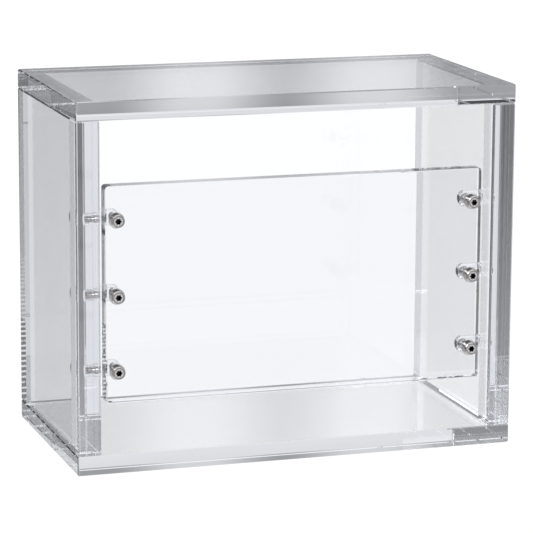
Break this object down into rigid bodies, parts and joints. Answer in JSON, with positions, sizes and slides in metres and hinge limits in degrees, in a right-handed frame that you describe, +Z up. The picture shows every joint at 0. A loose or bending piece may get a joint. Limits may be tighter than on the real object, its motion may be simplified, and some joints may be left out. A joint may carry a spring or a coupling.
{
  "type": "display case",
  "caption": "Clear box with a thick base and top, an open front and a screwed-on clear front plate that stops short of the top and bottom.",
  "frame": {"origin": "centre of the base panel's underside", "axes": "+Z up, +X to the right as seen from the front, -Y towards the front, where the plate is"},
  "size_m": [0.189, 0.101, 0.154],
  "materials": {
    "clear_acrylic": "polished clear acrylic, flame-polished edges",
    "plate_acrylic": "polished clear acrylic plate",
    "stainless_steel": "bright stainless steel"
  },
  "bodies": {
    "case": {"base_panel": "clear_acrylic", "top_panel": "clear_acrylic", "left_wall": "clear_acrylic", "right_wall": "clear_acrylic", "back_panel": "clear_acrylic", "left_front_post": "clear_acrylic", "right_front_post": "clear_acrylic", "wall_studs_left": "stainless_steel", "wall_studs_right": "stainless_steel", "plate_lugs_left": "clear_acrylic", "plate_lugs_right": "clear_acrylic"},
    "front_plate": {"front_plate": "plate_acrylic", "plate_washers": "stainless_steel"},
    "screw_left_lower": {"plate_screw_left_lower": "stainless_steel"},
    "screw_left_middle": {"plate_screw_left_middle": "stainless_steel"},
    "screw_left_upper": {"plate_screw_left_upper": "stainless_steel"},
    "screw_right_lower": {"plate_screw_right_lower": "stainless_steel"},
    "screw_right_middle": {"plate_screw_right_middle": "stainless_steel"},
    "screw_right_upper": {"plate_screw_right_upper": "stainless_steel"}
  },
  "joints": [
    {"name": "plate_lift_off", "type": "slide", "parent": "case", "child": "front_plate", "axis": [0, -1, 0], "range_m": [0, 0.04]},
    {"name": "screw_left_lower_turn", "type": "hinge", "parent": "front_plate", "child": "screw_left_lower", "pos_m": [-0.0769, -0.0505, 0.0419], "axis": [0, -1, 0], "continuous": true},
    {"name": "screw_left_middle_turn", "type": "hinge", "parent": "front_plate", "child": "screw_left_middle", "pos_m": [-0.0769, -0.0505, 0.0733], "axis": [0, -1, 0], "continuous": true},
    {"name": "screw_left_upper_turn", "type": "hinge", "parent": "front_plate", "child": "screw_left_upper", "pos_m": [-0.0769, -0.0505, 0.1047], "axis": [0, -1, 0], "continuous": true},
    {"name": "screw_right_lower_turn", "type": "hinge", "parent": "front_plate", "child": "screw_right_lower", "pos_m": [0.0769, -0.0505, 0.0419], "axis": [0, -1, 0], "continuous": true},
    {"name": "screw_right_middle_turn", "type": "hinge", "parent": "front_plate", "child": "screw_right_middle", "pos_m": [0.0769, -0.0505, 0.0733], "axis": [0, -1, 0], "continuous": true},
    {"name": "screw_right_upper_turn", "type": "hinge", "parent": "front_plate", "child": "screw_right_upper", "pos_m": [0.0769, -0.0505, 0.1047], "axis": [0, -1, 0], "continuous": true}
  ]
}
